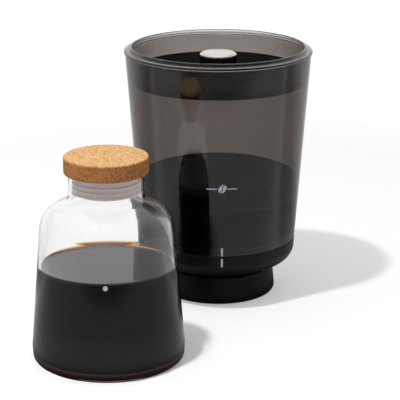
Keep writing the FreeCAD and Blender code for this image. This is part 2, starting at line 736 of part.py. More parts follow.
def make_stopper():
    flange_low = f"{CORK_LOW} - seat_gap"
    flange_top = f"{CORK_LOW} + flange_recess"
    cork = turned("cork_top", [
        ("0", flange_top),
        (f"{PLUG_FLANGE_RADIUS} + fit_gap", flange_top),
        (f"{PLUG_FLANGE_RADIUS} + fit_gap", CORK_LOW),
        (CORK_RADIUS, CORK_LOW, "cork_round"),
        (CORK_RADIUS, CORK_TOP, "cork_round"),
        ("0", CORK_TOP),
    ])
    on_carafe(cork)
    core_radius = f"{SLEEVE_RADIUS} - sleeve_wall - running_gap"
    core = turned("stopper_core", [
        (f"{core_radius} - core_wall", f"{SLEEVE_LOW} + sleeve_wall"),
        (core_radius, f"{SLEEVE_LOW} + sleeve_wall"),
        (core_radius, flange_top),
        ("0", flange_top),
        ("0", f"{flange_top} - core_wall"),
        (f"{core_radius} - core_wall", f"{flange_top} - core_wall"),
    ])
    on_carafe(core)
    ribs = int(cell("rib_count"))
    corners = [
        ("0", SLEEVE_LOW),
        (f"{SLEEVE_RADIUS} - rib_height", SLEEVE_LOW),
    ]
    span = f"( {flange_low} - {SLEEVE_LOW} )"
    for number in range(ribs):
        middle = f"{SLEEVE_LOW} + {span} * ( {number} + 0.5 ) / rib_count"
        corners.append((SLEEVE_RADIUS, f"{middle} - rib_height / 2"))
        corners.append((RIB_RADIUS, f"{middle} - rib_height / 6"))
        corners.append((RIB_RADIUS, f"{middle} + rib_height / 6"))
        corners.append((SLEEVE_RADIUS, f"{middle} + rib_height / 2"))
    corners += [
        (SLEEVE_RADIUS, flange_low),
        (PLUG_FLANGE_RADIUS, flange_low),
        (PLUG_FLANGE_RADIUS, f"{flange_top} - running_gap"),
        (f"{SLEEVE_RADIUS} - sleeve_wall", f"{flange_top} - running_gap"),
        (f"{SLEEVE_RADIUS} - sleeve_wall", f"{SLEEVE_LOW} + sleeve_wall - running_gap"),
        ("0", f"{SLEEVE_LOW} + sleeve_wall - running_gap"),
    ]
    sleeve = turned("stopper_sleeve", corners)
    on_carafe(sleeve)


def check_objects():
    """Stops when any object failed or any sub-part has no valid shape."""
    faults = []
    for item in doc.Objects:
        if "Invalid" in item.State or "Error" in item.State:
            faults.append(f"{item.Label}: {item.State}")
    for item in sub_parts():
        if item.Shape.isNull() or not item.Shape.isValid() or len(item.Shape.Solids) < 1:
            faults.append(f"{item.Label}: shape")
    if faults:
        raise ValueError("; ".join(faults))


def sub_parts():
    kinds = ("PartDesign::Body", "Part::Feature")
    return [item for item in doc.Objects if item.TypeId in kinds]


make_stand()
make_base()
make_valve()
make_spring()
make_container()
make_filter()
make_mesh()
make_lid()
make_carafe()
make_stopper()
doc.recompute()
check_objects()
os.makedirs("parts", exist_ok=True)
for item in sub_parts():
    item.Shape.exportStep(f"parts/{item.Label}.step")
    print(item.Label, len(item.Shape.Solids), round(item.Shape.Volume, 1))
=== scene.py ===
import math

import bpy
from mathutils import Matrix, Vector


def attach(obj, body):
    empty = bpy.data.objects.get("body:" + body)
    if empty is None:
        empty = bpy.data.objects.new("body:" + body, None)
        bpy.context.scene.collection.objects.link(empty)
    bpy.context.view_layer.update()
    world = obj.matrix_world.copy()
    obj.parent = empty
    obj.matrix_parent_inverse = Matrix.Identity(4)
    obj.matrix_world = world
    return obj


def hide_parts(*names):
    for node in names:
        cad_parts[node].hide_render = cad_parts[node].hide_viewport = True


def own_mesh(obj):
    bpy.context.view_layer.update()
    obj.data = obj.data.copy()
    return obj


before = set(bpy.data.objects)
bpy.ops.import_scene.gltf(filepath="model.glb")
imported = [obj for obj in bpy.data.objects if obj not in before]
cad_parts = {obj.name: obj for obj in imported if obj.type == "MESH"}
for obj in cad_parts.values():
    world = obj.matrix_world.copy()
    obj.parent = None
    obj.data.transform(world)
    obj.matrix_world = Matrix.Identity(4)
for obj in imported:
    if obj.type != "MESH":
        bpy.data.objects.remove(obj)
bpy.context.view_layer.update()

# Shapes are written in millimetres, in the CAD frame: the table top is Z = 0. Floor, light and camera
# are written in metres.
MM = 0.001
AROUND = 192
SHARP_FROM = math.radians(38)

# Brewing unit: its axis, the container and the coffee in it
BREWER = (0.0, 0.0)
VESSEL_LOW = 50.3
VESSEL_TOP = 210.8
VESSEL_FOOT = 66.7
VESSEL_RIM = 78.9
VESSEL_WALL = 2.3
BREW_LEVEL = 102.0
BREW_RISE = 1.6

# The cup of the container's base, which the coffee fills
CUP_FLOOR = 32.9
CUP_RADIUS = 59.3
CUP_CORNER = 3.4
CUP_TOP = 57.45

# The base's outer wall
BASE_LOW = 29.3
BASE_TOP = 50.0
BASE_FOOT = 65.6
BASE_RIM = 66.8
BASE_ROUND = 14.0

# Lid: its wall, and the flange that rests on the container's rim
LID_LOW = 191.9
LID_TOP = 216.2
LID_WALL = 1.8
LID_FOOT = 73.3
LID_NECK = 74.7
FLANGE_LOW = VESSEL_TOP + 0.1
FLANGE_TOP = 213.3
FLANGE_RADIUS = VESSEL_RIM + 1.0
DISC_TOP_FROM = 194.5
DISC_RAISE = 1.5

# Carafe: its axis, the glass and the coffee in it
CARAFE = (-87.2, -162.6)
FOOT_RISE = 1.5
FOOT_HOLLOW = 45.0
FOOT_INNER_EDGE = 48.0
FOOT_RADIUS = 59.2
CARAFE_RADIUS = 60.0
BULGE_HEIGHT = 12.0
SHOULDER_RADIUS = 51.3
SHOULDER_HEIGHT = 118.5
NECK_RADIUS = 29.4
NECK_LOW = 130.5
NECK_TOP = 150.3
GLASS_WALL = 2.4
MOUTH_RADIUS = NECK_RADIUS - GLASS_WALL
GLASS_BOTTOM = 7.5
INNER_FOOT = 56.7
EVEN_WALL_RADIUS = 57.55
EVEN_WALL_FROM = 16.0
COFFEE_LEVEL = 76.8
COFFEE_RISE = 2.2
WET_LINE = COFFEE_LEVEL + 0.8
LAYER_LOW = COFFEE_LEVEL - 3.6
BODY_TOP = LAYER_LOW - 0.02

# How far from the wall the surface of a liquid has come down to a third of its rise
RISE_REACH = 1.5

# Stopper
CORK_RADIUS = 32.8
CORK_LOW = 150.6
CORK_TOP = 164.4
CORK_EDGE = 1.7
CORK_RECESS_RADIUS = 29.15
CORK_RECESS_TOP = 151.5
PLUG_LOW = 134.6
PLUG_TOP = 150.5
PLUG_FLANGE_TOP = 151.34
PLUG_FLANGE_RADIUS = 29.0
PLUG_RADIUS = 24.2
PLUG_HOLLOW = 22.4
PLUG_FLOOR = 136.34
RIB_RADIUS = 26.7
RIB_ROOT = 0.9
RIB_TIP = 0.35
RIBS = 4

# Printed marks
MARK_TURN = math.radians(-87.5)
MARK_LIFT = 0.06
FILL_LINE = 110.6
LINE_LEFT = (-13.2, -4.5)
LINE_RIGHT = (3.9, 12.2)
LINE_HALF = 0.45
LOCK_HALF = 0.8
LOCK_UPPER = 54.4
LOCK_UPPER_REACH = 3.6
LOCK_LOWER = 44.6
LOCK_LOWER_REACH = 3.8
DOT_TURN = math.radians(-88.9)
DOT_HEIGHT = 75.8
DOT_RADIUS = 1.9
CURVE_STEPS = 24
DOT_STEPS = 32

# Floor, in metres: how far from the brewer its shadows fade to white, the line before which they are
# deeper, the share of painted white glow laid over them behind and ahead of that line, where each object
# stands on the floor, the reach and depth of the painted contact shade about it in reflections, and the
# stretch over which the floor's painted brightness in reflections runs
SHADOW_EDGE = (0.36, 0.70)
FRONT_EDGE = (-0.11, -0.06)
FLOOR_GLOW_SHARE = 0.38
FRONT_GLOW_SHARE = 0.16
FLOOR_BOUNCE_LOSS = 0.55
BREWER_TOUCH = 0.066
CARAFE_TOUCH = CARAFE_RADIUS * MM
CONTACT_SHADE_REACH = 0.03
CONTACT_SHADE_LEVEL = 0.12
PAINTED_REFLECTION_REACH = (-0.7, 0.5)
FLOOR_HALF = 12.0

# Light, in metres and watts
KEY_PLACE = Vector((-0.53, -0.60, 1.81))
KEY_TARGET = Vector((-0.03, -0.06, 0.05))
KEY_POWER = 23.0
KEY_SIZE = 0.10
FILL_LOW = 0.12
FILL_HIGH = 0.78

# Camera, in metres, with its lens in millimetres and its tilt below the horizon in degrees
CAMERA_PLACE = (-0.0154, -1.4228, 0.50525)
CAMERA_TILT = 16.64
CAMERA_LENS = 153.94
SENSOR_WIDTH = 36.0


# Turned shapes

def rounded(corners, steps=10):
    """Points of a profile. A corner is (radius, height) or (radius, height, round), in millimetres."""
    points = []
    count = len(corners)
    for index, corner in enumerate(corners):
        here = Vector(corner[:2])
        if len(corner) < 3:
            points.append(here)
            continue
        before = Vector(corners[index - 1][:2])
        after = Vector(corners[(index + 1) % count][:2])
        towards_before = (before - here).normalized()
        towards_after = (after - here).normalized()
        half = towards_before.angle(towards_after) / 2
        reach = corner[2] / math.tan(half)
        middle = here + (towards_before + towards_after).normalized() * (corner[2] / math.sin(half))
        start = here + towards_before * reach - middle
        sweep = math.pi - 2 * half
        side = 1 if towards_before.x * towards_after.y - towards_before.y * towards_after.x < 0 else -1
        for step in range(steps + 1):
            angle = side * sweep * step / steps
            turned_x = start.x * math.cos(angle) - start.y * math.sin(angle)
            turned_y = start.x * math.sin(angle) + start.y * math.cos(angle)
            points.append(middle + Vector((turned_x, turned_y)))
    return points


def revolve(name, points, centre=BREWER):
    """A closed mesh turned about the Z axis through centre, from profile points in millimetres."""
    vertices = []
    rings = []
    for radius, height in points:
        if radius < 1e-6:
            rings.append([len(vertices)])
            vertices.append((centre[0] * MM, centre[1] * MM, height * MM))
            continue
        ring = []
        for step in range(AROUND):
            angle = 2 * math.pi * step / AROUND
            ring.append(len(vertices))
            x = centre[0] + radius * math.cos(angle)
            y = centre[1] + radius * math.sin(angle)
            vertices.append((x * MM, y * MM, height * MM))
        rings.append(ring)
    faces = []
    pairs = list(zip(rings[:-1], rings[1:]))
    if len(rings[0]) > 1:
        pairs.append((rings[-1], rings[0]))
    for low, high in pairs:
        for step in range(AROUND):
            follower = (step + 1) % AROUND
            if len(low) == 1 and len(high) == 1:
                break
            if len(low) == 1:
                faces.append((low[0], high[follower], high[step]))
            elif len(high) == 1:
                faces.append((low[step], low[follower], high[0]))
            else:
                faces.append((low[step], low[follower], high[follower], high[step]))
    return new_piece(name, vertices, faces)


def new_piece(name, vertices, faces):
    """An object that is smooth but for the edges where its faces meet at a large angle."""
    mesh = bpy.data.meshes.new(name)
    mesh.from_pydata(vertices, [], faces)
    mesh.update()
    mesh.shade_smooth()
    mesh.set_sharp_from_angle(angle=SHARP_FROM)
    piece = bpy.data.objects.new(name, mesh)
    bpy.context.scene.collection.objects.link(piece)
    return piece


def node_copy(name, node):
    """A new piece with the mesh and the finish of a CAD node."""
    piece = bpy.data.objects.new(name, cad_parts[node].data.copy())
    bpy.context.scene.collection.objects.link(piece)
    return piece


def settle(piece, body, slot, *nodes):
    """Puts a new piece on its body, and hides the nodes that it stands for. slot is not used."""
    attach(piece, body)
    if nodes:
        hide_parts(*nodes)


def dress(piece, material, body, slot, *nodes):
    """Gives a new piece its material, and settles it."""
    piece.data.materials.append(material)
    settle(piece, body, slot, *nodes)


def vessel_radius(height):
    """The container's outer radius at a height."""
    slope = (VESSEL_RIM - VESSEL_FOOT) / (VESSEL_TOP - VESSEL_LOW)
    return VESSEL_FOOT + (height - VESSEL_LOW) * slope


def radius_at(points, height):
    """The outer radius of a profile at a height."""
    best = 0.0
    for low, high in zip(points[:-1], points[1:]):
        if min(low[1], high[1]) <= height <= max(low[1], high[1]) and low[1] != high[1]:
            share = (height - low[1]) / (high[1] - low[1])
            best = max(best, low[0] + (high[0] - low[0]) * share)
    return best


def drawn_up(wall, level, rise, distances):
    """The surface of a liquid that its wall draws up, from near the wall to the middle."""
    points = [Vector((wall - away, level + rise * math.exp(-away / RISE_REACH))) for away in distances]
    points.append(Vector((0.0, level)))
    return points


# Materials

class Tree:
    """A node tree with short ways to add nodes and links."""

    def __init__(self, owner):
        owner.use_nodes = True
        self.nodes = owner.node_tree.nodes
        self.links = owner.node_tree.links

    def add(self, kind, inputs=(), **settings):
        """A node with its settings. Each input, by name or place, is a number or another's output."""
        node = self.nodes.new(kind)
        for key, value in settings.items():
            setattr(node, key, value)
        for key, value in dict(inputs).items():
            if isinstance(value, bpy.types.NodeSocket):
                self.links.new(value, node.inputs[key])
            else:
                node.inputs[key].default_value = value
        return node

    def calculate(self, operation, first, second=0.0):
        return self.add("ShaderNodeMath", {0: first, 1: second}, operation=operation).outputs[0]

    def height(self, vector):
        """The Z part of a vector."""
        return self.add("ShaderNodeSeparateXYZ", {0: vector}).outputs["Z"]

    def spread(self, factor, low, high, source=(0.3, 0.7), **settings):
        """Stretches the part of factor that lies within source to run from low to high."""
        inputs = {"Value": factor, "From Min": source[0], "From Max": source[1]}
        inputs.update({"To Min": low, "To Max": high})
        return self.add("ShaderNodeMapRange", inputs, **settings).outputs["Result"]


class Shader(Tree):
    """A material's node tree."""

    def __init__(self, name):
        self.material = bpy.data.materials.new(name)
        super().__init__(self.material)
        self.surface = self.nodes["Principled BSDF"]
        self.output = self.nodes["Material Output"]

    def put(self, **values):
        """Sets or links inputs of the surface. A word's underscore stands for a space."""
        for key, value in values.items():
            name = key.replace("_", " ")
            if isinstance(value, bpy.types.NodeSocket):
                self.links.new(value, self.surface.inputs[name])
            elif isinstance(value, tuple):
                self.surface.inputs[name].default_value = (*value, 1)
            else:
                self.surface.inputs[name].default_value = value

    def place(self):
        return self.add("ShaderNodeTexCoord").outputs["Object"]

    def noise(self, scale, detail=3.0, place=None):
        inputs = {"Vector": place or self.place(), "Scale": scale, "Detail": detail}
        return self.add("ShaderNodeTexNoise", inputs).outputs["Fac"]

    def levelness(self, normal="Normal"):
        """1 where the surface lies flat and 0 where it stands upright."""
        return self.calculate("ABSOLUTE", self.height(self.add("ShaderNodeNewGeometry").outputs[normal]))

    def ramp(self, factor, stops):
        """A colour that changes with factor, from stops of (place, colour)."""
        node = self.add("ShaderNodeValToRGB", {"Fac": factor})
        elements = node.color_ramp.elements
        while len(elements) < len(stops):
            elements.new(0.5)
        for element, (position, colour) in zip(elements, stops):
            element.position = position
            element.color = (*colour, 1)
        return node.outputs["Color"]

    def mix(self, factor, first, second, blend="MIX"):
        inputs = {"Factor": factor, "A": first, "B": (*second, 1)}
        return self.add("ShaderNodeMix", inputs, data_type="RGBA", blend_type=blend).outputs[2]

    def bump(self, height, strength, distance):
        inputs = {"Height": height, "Strength": strength, "Distance": distance}
        self.put(Normal=self.add("ShaderNodeBump", inputs).outputs["Normal"])

    def clear_to_shadows(self, colour):
        """Lamps shine through the wall, so that it casts a tinted shadow and not a black one."""
        path = self.add("ShaderNodeLightPath")
        clear = self.add("ShaderNodeBsdfTransparent", {"Color": (*colour, 1)})
        inputs = {0: path.outputs["Is Shadow Ray"], 1: self.surface.outputs[0], 2: clear.outputs[0]}
        mix = self.add("ShaderNodeMixShader", inputs)
        self.links.new(mix.outputs[0], self.output.inputs["Surface"])

    def absorb(self, per_metre, density):
        """Takes so much light per metre in red, green and blue. density is more than each of them."""
        colour = tuple(1 - part / density for part in per_metre)
        volume = self.add("ShaderNodeVolumeAbsorption", {"Color": (*colour, 1), "Density": density})
        self.links.new(volume.outputs[0], self.output.inputs["Volume"])


def grey(level):
    return (level, level, level)


CLEAR = grey(1)
WALL_SHADOW = grey(0.93)


def moulded(name, colour, roughness, gloss=0.12, grain=2600.0, depth=0.00002):
    """Satin moulded plastic with a fine spark-eroded grain and faint handling marks."""
    shader = Shader(name)
    handled = shader.noise(38.0, 4.0)
    shader.put(Base_Color=colour, Specular_IOR_Level=gloss)
    shader.put(Roughness=shader.spread(handled, roughness * 0.85, roughness * 1.15))
    shader.bump(shader.noise(grain, 2.0), 0.25, depth)
    return shader.material


def smoky(name, per_metre, density):
    """Clear tinted plastic: the tint deepens with the way that light takes inside it."""
    shader = Shader(name)
    shader.put(Base_Color=CLEAR, Transmission_Weight=1.0, IOR=1.57, Roughness=0.0)
    shader.bump(shader.noise(9.0, 1.0), 0.03, 0.002)
    shader.put(Specular_IOR_Level=shader.spread(shader.levelness(), 0.5, 0.05, (0.96, 0.99)))
    shader.absorb(per_metre, density)
    shader.clear_to_shadows(WALL_SHADOW)
    return shader.material


def make_glass(name, index):
    """Blown glass, slightly wavy."""
    shader = Shader(name)
    shader.put(Base_Color=(0.988, 0.992, 0.991), Transmission_Weight=1.0, IOR=index, Roughness=0.0)
    shader.bump(shader.noise(26.0, 1.0), 0.06, 0.002)
    shader.clear_to_shadows(WALL_SHADOW)
    return shader.material


def make_coffee_layer():
    """The top few millimetres of coffee, thin enough at the far wall for light to come through."""
    shader = Shader("coffee_surface")
    index = 1.44
    shader.put(Base_Color=CLEAR, Transmission_Weight=1.0, Roughness=0.0, IOR=index)
    shader.put(IOR=shader.spread(shader.levelness(), 1.0, index, (0.3, 0.6)))
    shader.absorb((330.0, 700.0, 1500.0), 2000.0)
    return shader.material


def make_coffee_with_painted_foot_glow():
    """Coffee behind glass, as good as opaque, and its painted dark image in the thick foot, with a
    painted red glow and a painted highlight line low down.
    """
    shader = Shader("coffee_with_painted_foot_glow")
    wander = shader.spread(shader.noise(30.0), -0.0003, 0.0003)
    moved = shader.calculate("ADD", shader.height(shader.place()), wander)
    dark = (0.003, 0.0022, 0.002)
    # Painted light by height: below the glass bottom a red glow and a pale highlight line, above it the
    # coffee's own near-black.
    shader.put(Base_Color=shader.ramp(shader.spread(moved, 0.0, 1.0, (0.0, 0.02)), [
        (0.12, (0.010, 0.0033, 0.003)),
        (0.22, (0.024, 0.005, 0.004)),
        (0.31, (0.034, 0.009, 0.007)),
        (0.35, (0.050, 0.042, 0.040)),
        (0.42, dark),
        (1.0, dark),
    ]))
    shader.put(Roughness=0.6, Specular_IOR_Level=0.0)
    return shader.material


def make_brew():
    """Coffee with its grounds in the container: as good as opaque."""
    shader = Shader("steeping_coffee")
    shader.put(Base_Color=shader.ramp(shader.noise(900.0), [
        (0.35, (0.004, 0.003, 0.0025)),
        (0.7, (0.012, 0.008, 0.006)),
    ]))
    shader.put(Roughness=0.5, IOR=1.33, Specular_IOR_Level=0.02)
    shader.bump(shader.noise(60.0, 2.0), 0.05, 0.001)
    return shader.material


def make_cork():
    """Grains in a few browns with dark crumbs between them. The upright flank is painted darker than the
    top, as painted shade.
    """
    shader = Shader("pressed_cork")
    place = shader.place()
    warp = shader.add("ShaderNodeTexNoise", {"Vector": place, "Scale": 600.0, "Detail": 2.0})
    shifted = shader.add("ShaderNodeVectorMath", {0: warp.outputs["Color"], 1: (0.0011, 0.0011, 0.0011)},
                         operation="MULTIPLY")
    moved = shader.add("ShaderNodeVectorMath", {0: place, 1: shifted.outputs[0]}, operation="ADD")
    grains = shader.add("ShaderNodeTexVoronoi", {"Vector": moved.outputs[0], "Scale": 1050.0})
    shade = shader.add("ShaderNodeSeparateColor", {"Color": grains.outputs["Color"]}).outputs["Red"]
    browns = shader.ramp(shade, [
        (0.0, (0.36, 0.16, 0.05)),
        (0.22, (0.60, 0.33, 0.13)),
        (0.5, (0.70, 0.41, 0.175)),
        (1.0, (0.80, 0.51, 0.25)),
    ])
    crumbs = shader.noise(1700.0, 2.0, place)
    flecked = shader.mix(shader.spread(crumbs, 0.0, 1.0, (0.63, 0.72)), browns, (0.20, 0.085, 0.03))
    # Painted shade: upright faces are multiplied darker and redder than the top.
    flank_shade = shader.spread(shader.levelness("True Normal"), 1.0, 0.0, (0.15, 0.85))
    shader.put(Base_Color=shader.mix(flank_shade, flecked, (0.76, 0.52, 0.40), "MULTIPLY"))
    shader.put(Roughness=0.82, Specular_IOR_Level=0.25)
    shader.bump(shader.calculate("ADD", grains.outputs["Distance"], crumbs), 0.55, 0.00035)
    return shader.material


def make_silicone(name, colour, roughness):
    """Soft milky rubber that lets a little light into it."""
    shader = Shader(name)
    shader.put(Base_Color=colour, Subsurface_Weight=0.35, Subsurface_Scale=0.004)
    shader.put(Roughness=shader.spread(shader.noise(60.0), roughness * 0.85, roughness * 1.15))
    shader.bump(shader.noise(1500.0, 2.0), 0.12, 0.00002)
    return shader.material


def make_steel(name, colour, roughness, stretch):
    """Brushed metal. stretch is how close the lines lie along X, Y and Z."""
    shader = Shader(name)
    scaled = shader.add("ShaderNodeMapping", {"Vector": shader.place(), "Scale": stretch})
    lines = shader.noise(1.0, 5.0, scaled.outputs[0])
    shader.put(Base_Color=colour, Metallic=1.0)
    shader.put(Roughness=shader.spread(lines, roughness * 0.8, roughness * 1.25))
    shader.bump(lines, 0.18, 0.00004)
    return shader.material


def make_gloss_black():
    """Polished black plastic that mirrors less at a flat angle."""
    shader = Shader("gloss_black_plastic")
    facing = shader.add("ShaderNodeLayerWeight", {"Blend": 0.5}).outputs["Facing"]
    shader.put(Base_Color=(0.004, 0.004, 0.0045), IOR=1.46, Specular_IOR_Level=0.1)
    shader.put(Specular_IOR_Level=shader.spread(facing, 0.1, 0.001, (0.25, 0.6)))
    shader.put(Roughness=shader.spread(shader.noise(24.0), 0.16, 0.22))
    return shader.material


def make_print():
    """Pale printing ink."""
    shader = Shader("printed_mark")
    shader.put(Base_Color=(0.56, 0.60, 0.68), Roughness=shader.spread(shader.noise(700.0), 0.35, 0.5))
    return shader.material


black = moulded("black_satin_plastic", (0.0055, 0.0055, 0.006), 0.34)
base_black = moulded("black_base_plastic", (0.006, 0.006, 0.0065), 0.32, gloss=0.19)
rubber = moulded("black_rubber", (0.010, 0.010, 0.010), 0.72, gloss=0.1, grain=1800.0, depth=0.00004)
natural = moulded("natural_plastic", (0.62, 0.58, 0.57), 0.45, gloss=0.4)
smoke = smoky("smoky_container", (505.0, 546.0, 570.0), 720.0)
light_smoke = smoky("smoky_lid_wall", (135.0, 142.0, 151.0), 400.0)
glass = make_glass("carafe_clear_glass", 1.44)
wet_glass = make_glass("carafe_glass_wetted", 1.105)
coffee_layer = make_coffee_layer()
coffee_with_painted_foot_glow = make_coffee_with_painted_foot_glow()
brew = make_brew()
cork = make_cork()
silicone = make_silicone("seal_silicone", (0.50, 0.50, 0.50), 0.5)
plug = make_silicone("stopper_silicone", (0.66, 0.57, 0.56), 0.38)
steel = make_steel("brushed_steel", (0.69, 0.67, 0.635), 0.24, (60.0, 2400.0, 60.0))
spring_steel = make_steel("spring_steel", (0.62, 0.62, 0.62), 0.2, (300.0, 300.0, 3000.0))
gloss_black = make_gloss_black()
mark = make_print()

NODE_FINISH = {
    "stand": black,
    "stand_foot_ring": rubber,
    "container_base": base_black,
    "base_gasket": silicone,
    "valve_guide": black,
    "valve_stem": black,
    "valve_seal": silicone,
    "valve_actuator": black,
    "valve_spring": spring_steel,
    "brewing_container": smoke,
    "filter_frame": black,
    "filter_mesh": spring_steel,
    "filter_seal": silicone,
    "lid_wall": light_smoke,
    "lid_disc": gloss_black,
    "knob_body": gloss_black,
    "knob_cap": steel,
    "knob_screw": spring_steel,
    "carafe_glass": glass,
    "cork_top": cork,
    "stopper_core": natural,
    "stopper_sleeve": plug,
}
for node_name, finish in NODE_FINISH.items():
    node_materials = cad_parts[node_name].data.materials
    node_materials.clear()
    node_materials.append(finish)


# Brewing unit

def make_container():
    """The smoky tapered wall."""
    shell = revolve("container_shell", rounded([
        (VESSEL_FOOT - VESSEL_WALL, VESSEL_LOW, 0.2),
        (VESSEL_FOOT, VESSEL_LOW, 0.2),
        (VESSEL_RIM, VESSEL_TOP, 0.6),
        (VESSEL_RIM - VESSEL_WALL, VESSEL_TOP, 0.6),
    ]))
    dress(shell, smoke, "container", "smoky_plastic", "brewing_container")


def make_lid_wall():
    """A clear ring that narrows downwards, with its flange and a short neck above."""
    seat = VESSEL_RIM - VESSEL_WALL
    ring = revolve("lid_wall_ring", rounded([
        (LID_FOOT - LID_WALL, LID_LOW, 0.2),
        (LID_FOOT, LID_LOW, 0.2),
        (seat - 1.0, FLANGE_LOW - 1.5, 2.0),
        (seat - 0.4, FLANGE_LOW, 0.3),
        (FLANGE_RADIUS, FLANGE_LOW, 0.9),
        (FLANGE_RADIUS, FLANGE_TOP, 0.9),
        (LID_NECK, FLANGE_TOP, 0.5),
        (LID_NECK, LID_TOP, 0.88),
        (LID_NECK - LID_WALL, LID_TOP, 0.88),
    ]))
    dress(ring, light_smoke, "lid", "lid_smoke", "lid_wall")


def make_lid_disc():
    """The top of the disc stands a little higher under the rim than that of the solid."""
    disc = node_copy("lid_disc_raised", "lid_disc")
    for vertex in disc.data.vertices:
        if vertex.co.z > DISC_TOP_FROM * MM:
            vertex.co.z += DISC_RAISE * MM
    settle(disc, "lid", "gloss_black", "lid_disc")


def make_steeping_coffee():
    """It fills the base's cup and the container up to its level."""
    overlap = 0.08
    points = rounded([
        (0.0, CUP_FLOOR),
        (CUP_RADIUS, CUP_FLOOR, CUP_CORNER),
        (CUP_RADIUS, CUP_TOP),
        (vessel_radius(CUP_TOP) - VESSEL_WALL + overlap, CUP_TOP),
    ])
    wall = vessel_radius(BREW_LEVEL) - VESSEL_WALL + overlap
    points += drawn_up(wall, BREW_LEVEL, BREW_RISE, (0.0, 0.3, 0.7, 1.2, 2.0, 3.2, 5.0, 8.0))
    dress(revolve("steeping_coffee", points), brew, "container", "smoky_plastic")


make_container()
make_lid_wall()
make_lid_disc()
make_steeping_coffee()


# Carafe: the profiles of its glass, which the coffee and the marks follow

def offset_inwards(points, distance):
    """Points at an even distance inside a profile that runs upwards."""
    moved = []
    for index in range(1, len(points) - 1):
        along = points[index + 1] - points[index - 1]
        across = Vector((-along.y, along.x)).normalized()
        moved.append(points[index] + across * distance)
    return moved


def inner_wall(outer):
    """The inside of the glass, with a ring of points where the wetted wall ends."""
    low = BULGE_HEIGHT + 0.9
    high = NECK_TOP - 2.3
    wall = [point for point in outer if low < point[1] < high and point[0] > NECK_RADIUS - 0.1]
    points = rounded([
        (0.0, GLASS_BOTTOM),
        (INNER_FOOT, GLASS_BOTTOM, 5.0),
        (EVEN_WALL_RADIUS, EVEN_WALL_FROM),
    ], 12)
    points += [point for point in offset_inwards(wall, GLASS_WALL) if point[1] > EVEN_WALL_FROM + 0.5]
    above_coffee = [index for index, point in enumerate(points) if point[1] > WET_LINE][0]
    points.insert(above_coffee, Vector((radius_at(points, WET_LINE), WET_LINE)))
    return points


carafe_outer = rounded([
    (0.0, FOOT_RISE),
    (FOOT_HOLLOW, FOOT_RISE, 1.0),
    (FOOT_INNER_EDGE, 0.0, 0.6),
    (FOOT_RADIUS, 0.0, 6.0),
    (CARAFE_RADIUS, BULGE_HEIGHT, 12.0),
    (SHOULDER_RADIUS, SHOULDER_HEIGHT, 20.0),
    (NECK_RADIUS, NECK_LOW, 5.0),
    (NECK_RADIUS, NECK_TOP, 1.1),
    (MOUTH_RADIUS, NECK_TOP, 1.1),
    (MOUTH_RADIUS, NECK_TOP - 1.3),
], 16)
carafe_inner = inner_wall(carafe_outer)
mouth_edge = Vector((MOUTH_RADIUS, NECK_TOP - 3.3))
carafe_profile = carafe_outer + [mouth_edge] + list(reversed(carafe_inner))


def wet_the_inside(piece):
    """The inner wall below the surface gets the glass that has coffee behind it."""
    piece.data.materials.append(wet_glass)
    bottom = (FOOT_RISE + GLASS_BOTTOM) / 2
    for face in piece.data.polygons:
        height = face.center.z / MM
        away = math.hypot(face.center.x / MM - CARAFE[0], face.center.y / MM - CARAFE[1])
        if bottom < height < WET_LINE and away < radius_at(carafe_outer, height) - GLASS_WALL / 2:
            face.material_index = 1


def make_carafe():
    shell = revolve("carafe_shell", carafe_profile, CARAFE)
    dress(shell, glass, "carafe", "clear_glass", "carafe_glass")
    wet_the_inside(shell)


def inner_radius(height, into=-0.03):
    """The carafe's inner wall, as the coffee meets it: just short of the glass or a little into it."""
    return radius_at(carafe_inner, height) + into


def make_coffee_surface():
    """The top layer, with its edge drawn up the wall."""
    wall = inner_radius(COFFEE_LEVEL + COFFEE_RISE)
    points = [
        Vector((0.0, LAYER_LOW)),
        Vector((inner_radius(LAYER_LOW), LAYER_LOW)),
        Vector((inner_radius(COFFEE_LEVEL), COFFEE_LEVEL)),
        Vector((wall, COFFEE_LEVEL + COFFEE_RISE)),
    ]
    distances = (0.12, 0.3, 0.6, 1.0, 1.6, 2.4, 3.6, 5.4, 8.0)
    points += drawn_up(wall - 0.1, COFFEE_LEVEL, COFFEE_RISE, distances)
    dress(revolve("coffee_surface", points, CARAFE), coffee_layer, "carafe", "clear_glass")


def make_coffee_under_surface():
    """All coffee below the top layer, and a painted dark image of it carried down into the thick foot.
    """
    painted_image_low = 2.6
    into_glass = 0.07
    points = rounded([
        (0.0, painted_image_low),
        (57.2, painted_image_low, 4.6),
        (EVEN_WALL_RADIUS + 0.05, EVEN_WALL_FROM - 1),
    ])
    for radius, height in carafe_inner:
        if EVEN_WALL_FROM + 1 < height < BODY_TOP - 1:
            points.append(Vector((radius + into_glass, height)))
    points.append(Vector((inner_radius(BODY_TOP, 0.08), BODY_TOP)))
    points.append(Vector((0.0, BODY_TOP)))
    dress(revolve("coffee_with_painted_foot_glow", points, CARAFE), coffee_with_painted_foot_glow, "carafe", "clear_glass")


make_carafe()
make_coffee_surface()
make_coffee_under_surface()


# Stopper

def make_cork_disc():
    """A thick disc with rounded edges, hollowed below for the plug's flange."""
    disc = revolve("cork_disc", rounded([
        (0.0, CORK_RECESS_TOP),
        (CORK_RECESS_RADIUS, CORK_RECESS_TOP),
        (CORK_RECESS_RADIUS, CORK_LOW),
        (CORK_RADIUS, CORK_LOW, CORK_EDGE),
        (CORK_RADIUS, CORK_TOP, CORK_EDGE),
        (0.0, CORK_TOP),
    ]), CARAFE)
    dress(disc, cork, "stopper", "cork", "cork_top")


